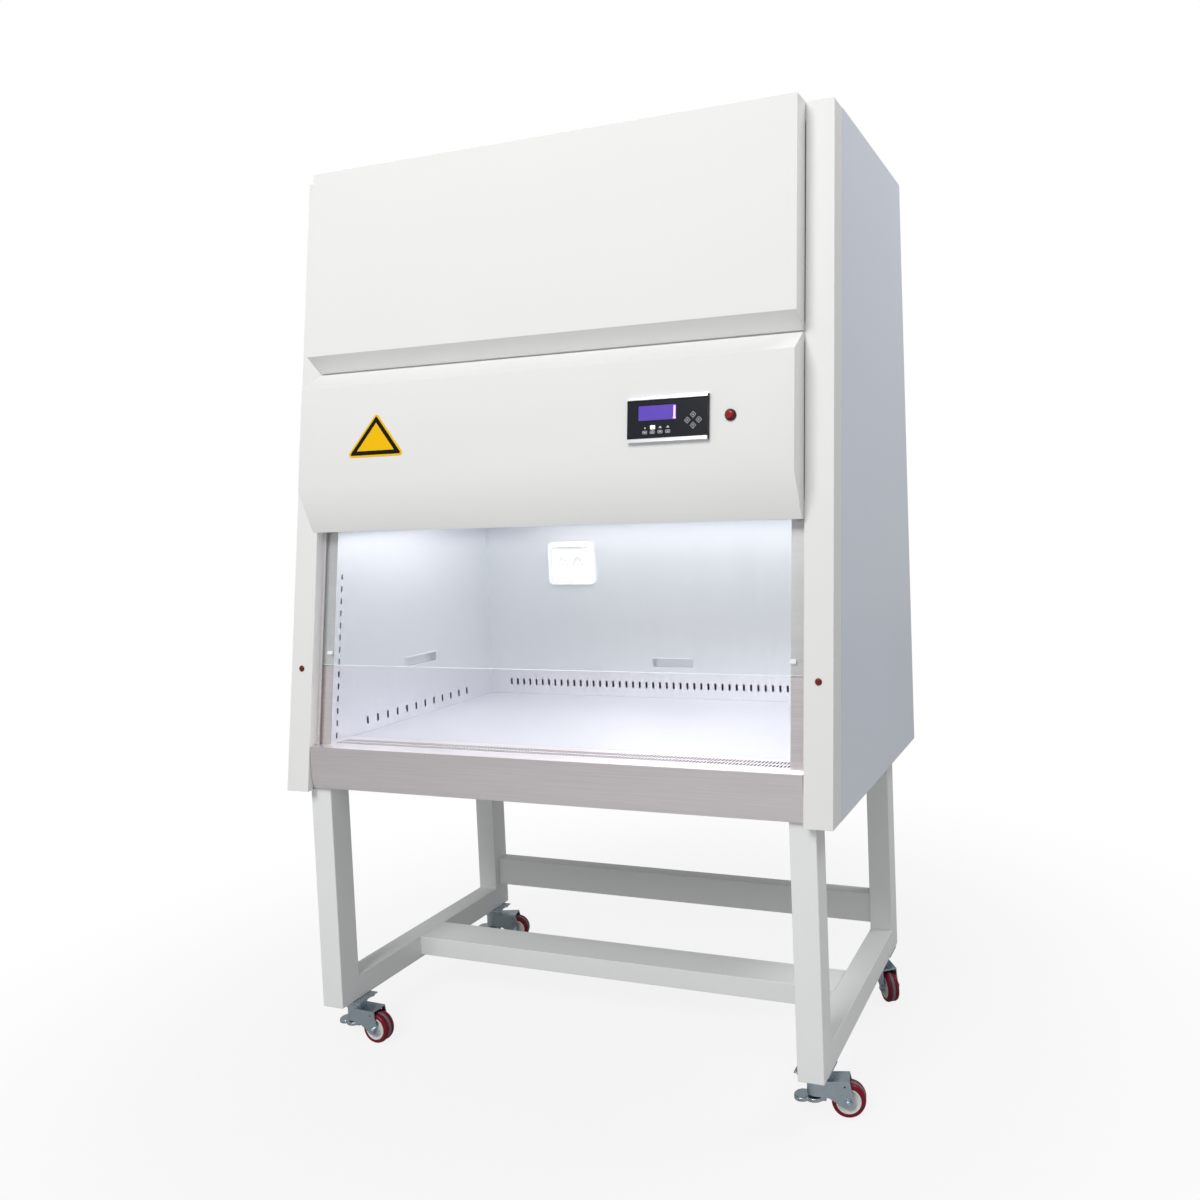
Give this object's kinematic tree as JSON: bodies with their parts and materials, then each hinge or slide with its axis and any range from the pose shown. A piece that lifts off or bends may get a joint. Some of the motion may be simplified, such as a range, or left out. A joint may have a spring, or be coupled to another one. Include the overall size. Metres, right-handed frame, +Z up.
{
  "type": "biosafety cabinet",
  "caption": "Class II biosafety cabinet with a leaning front, sliding glass sash, stainless work chamber and control panel, on a tubular stand with braked swivel castors.",
  "frame": {"origin": "on the floor, under the middle of the cabinet's width and depth", "axes": "+X to the right of a person facing the front, +Y from the front to the back, +Z up"},
  "size_m": [1.4214, 0.81, 2.18],
  "materials": {
    "white_paint": "semi-gloss powder coat",
    "side_paint": "semi-gloss powder coat",
    "frame_paint": "semi-gloss powder coat",
    "stainless": "brushed",
    "chamber_stainless": "brushed",
    "galvanised": "galvanised",
    "filter_media": "pleated paper in an aluminium frame",
    "lamp_glass": "frosted",
    "sash_glass": "clear",
    "white_plastic": "gloss",
    "lid_plastic": "translucent",
    "black_face": "gloss with silver rails",
    "screen": "lit display",
    "key_rubber": "satin",
    "red_lens": "gloss",
    "copper": "polished",
    "zinc": "zinc plated",
    "wheel_tread": "satin polyurethane on a pale hub"
  },
  "bodies": {
    "cabinet": {"front_post_l": "white_paint", "front_post_r": "white_paint", "side_panel_l": "side_paint", "side_panel_r": "side_paint", "back_panel": "side_paint", "top_cover": "side_paint", "upper_front_panel": "white_paint", "control_panel": "white_paint", "front_crossbars": "white_paint", "post_screws": "copper", "base_pan": "stainless", "front_apron": "stainless", "front_grille": "stainless", "work_surface": "chamber_stainless", "tray_supports": "stainless", "chamber_back_wall": "chamber_stainless", "chamber_side_wall_l": "chamber_stainless", "chamber_side_wall_r": "chamber_stainless", "wall_recesses": "chamber_stainless", "ceiling_deck": "chamber_stainless", "lamps": "lamp_glass", "sash_guides": "stainless", "socket_box": "white_plastic", "supply_filter": "filter_media", "plenum_box": "galvanised", "exhaust_filter": "filter_media", "exhaust_duct": "galvanised", "blower_housing": "galvanised", "controller_frame": "black_face", "screen": "screen", "button_bezel": "white_plastic", "stand_left_frame": "frame_paint", "stand_right_frame": "frame_paint", "stand_cross_rails": "frame_paint", "castor_plates": "zinc"},
    "sash": {"sash_glass": "sash_glass", "sash_fittings": "white_plastic"},
    "socket_cover": {"socket_lid": "lid_plastic"},
    "button": {"red_button": "red_lens"},
    "rotor": {"blower_rotor": "galvanised"},
    "key_f1": {"key_f1": "key_rubber"},
    "key_f2": {"key_f2": "key_rubber"},
    "key_f3": {"key_f3": "key_rubber"},
    "key_f4": {"key_f4": "key_rubber"},
    "key_up": {"key_up": "key_rubber"},
    "key_down": {"key_down": "key_rubber"},
    "key_left": {"key_left": "key_rubber"},
    "key_right": {"key_right": "key_rubber"},
    "castor_fl": {"castor_fork_fl": "zinc"},
    "wheel_fl": {"castor_wheel_fl": "wheel_tread"},
    "pedal_fl": {"castor_pedal_fl": "zinc"},
    "castor_fr": {"castor_fork_fr": "zinc"},
    "wheel_fr": {"castor_wheel_fr": "wheel_tread"},
    "pedal_fr": {"castor_pedal_fr": "zinc"},
    "castor_rl": {"castor_fork_rl": "zinc"},
    "wheel_rl": {"castor_wheel_rl": "wheel_tread"},
    "pedal_rl": {"castor_pedal_rl": "zinc"},
    "castor_rr": {"castor_fork_rr": "zinc"},
    "wheel_rr": {"castor_wheel_rr": "wheel_tread"},
    "pedal_rr": {"castor_pedal_rr": "zinc"}
  },
  "joints": [
    {"name": "sash_slide", "type": "slide", "parent": "cabinet", "child": "sash", "axis": [0, 0.1184, 0.993], "range_m": [-0.192, 0.325]},
    {"name": "socket_cover_hinge", "type": "hinge", "parent": "cabinet", "child": "socket_cover", "pos_m": [-0.32, 0.316, 1.219], "axis": [-1, 0, 0], "range_deg": [0, 110]},
    {"name": "button_press", "type": "slide", "parent": "cabinet", "child": "button", "axis": [0, 0.993, -0.1184], "range_m": [0, 0.0025], "stiffness_N_per_m": 800, "springref_m": -0.001},
    {"name": "blower_spin", "type": "hinge", "parent": "cabinet", "child": "rotor", "pos_m": [-0.3, 0.06, 1.815], "axis": [1, 0, 0], "continuous": true},
    {"name": "key_f1_press", "type": "slide", "parent": "cabinet", "child": "key_f1", "axis": [0, 0.993, -0.1184], "range_m": [0, 0.0006], "stiffness_N_per_m": 600, "springref_m": -0.0004},
    {"name": "key_f2_press", "type": "slide", "parent": "cabinet", "child": "key_f2", "axis": [0, 0.993, -0.1184], "range_m": [0, 0.0006], "stiffness_N_per_m": 600, "springref_m": -0.0004},
    {"name": "key_f3_press", "type": "slide", "parent": "cabinet", "child": "key_f3", "axis": [0, 0.993, -0.1184], "range_m": [0, 0.0006], "stiffness_N_per_m": 600, "springref_m": -0.0004},
    {"name": "key_f4_press", "type": "slide", "parent": "cabinet", "child": "key_f4", "axis": [0, 0.993, -0.1184], "range_m": [0, 0.0006], "stiffness_N_per_m": 600, "springref_m": -0.0004},
    {"name": "key_up_press", "type": "slide", "parent": "cabinet", "child": "key_up", "axis": [0, 0.993, -0.1184], "range_m": [0, 0.0006], "stiffness_N_per_m": 600, "springref_m": -0.0004},
    {"name": "key_down_press", "type": "slide", "parent": "cabinet", "child": "key_down", "axis": [0, 0.993, -0.1184], "range_m": [0, 0.0006], "stiffness_N_per_m": 600, "springref_m": -0.0004},
    {"name": "key_left_press", "type": "slide", "parent": "cabinet", "child": "key_left", "axis": [0, 0.993, -0.1184], "range_m": [0, 0.0006], "stiffness_N_per_m": 600, "springref_m": -0.0004},
    {"name": "key_right_press", "type": "slide", "parent": "cabinet", "child": "key_right", "axis": [0, 0.993, -0.1184], "range_m": [0, 0.0006], "stiffness_N_per_m": 600, "springref_m": -0.0004},
    {"name": "castor_fl_swivel", "type": "hinge", "parent": "cabinet", "child": "castor_fl", "pos_m": [-0.615, -0.31, 0.1], "axis": [0, 0, 1], "continuous": true},
    {"name": "wheel_fl_roll", "type": "hinge", "parent": "castor_fl", "child": "wheel_fl", "pos_m": [-0.54504, -0.31244, 0.0375], "axis": [0.0349, 0.9994, 0], "continuous": true},
    {"name": "pedal_fl_brake", "type": "hinge", "parent": "castor_fl", "child": "pedal_fl", "pos_m": [-0.59901, -0.31056, 0.056], "axis": [-0.0349, -0.9994, 0], "range_deg": [0, 12]},
    {"name": "castor_fr_swivel", "type": "hinge", "parent": "cabinet", "child": "castor_fr", "pos_m": [0.615, -0.31, 0.1], "axis": [0, 0, 1], "continuous": true},
    {"name": "wheel_fr_roll", "type": "hinge", "parent": "castor_fr", "child": "wheel_fr", "pos_m": [0.68292, -0.29307, 0.0375], "axis": [-0.2419, 0.9703, 0], "continuous": true},
    {"name": "pedal_fr_brake", "type": "hinge", "parent": "castor_fr", "child": "pedal_fr", "pos_m": [0.63053, -0.30613, 0.056], "axis": [0.2419, -0.9703, 0], "range_deg": [0, 12]},
    {"name": "castor_rl_swivel", "type": "hinge", "parent": "cabinet", "child": "castor_rl", "pos_m": [-0.615, 0.27, 0.1], "axis": [0, 0, 1], "continuous": true},
    {"name": "wheel_rl_roll", "type": "hinge", "parent": "castor_rl", "child": "wheel_rl", "pos_m": [-0.54843, 0.29163, 0.0375], "axis": [-0.309, 0.9511, 0], "continuous": true},
    {"name": "pedal_rl_brake", "type": "hinge", "parent": "castor_rl", "child": "pedal_rl", "pos_m": [-0.59978, 0.27494, 0.056], "axis": [0.309, -0.9511, 0], "range_deg": [0, 12]},
    {"name": "castor_rr_swivel", "type": "hinge", "parent": "cabinet", "child": "castor_rr", "pos_m": [0.615, 0.27, 0.1], "axis": [0, 0, 1], "continuous": true},
    {"name": "wheel_rr_roll", "type": "hinge", "parent": "castor_rr", "child": "wheel_rr", "pos_m": [0.65515, 0.21266, 0.0375], "axis": [0.8192, 0.5736, 0], "continuous": true},
    {"name": "pedal_rr_brake", "type": "hinge", "parent": "castor_rr", "child": "pedal_rr", "pos_m": [0.62418, 0.25689, 0.056], "axis": [-0.8192, -0.5736, 0], "range_deg": [0, 12]}
  ]
}
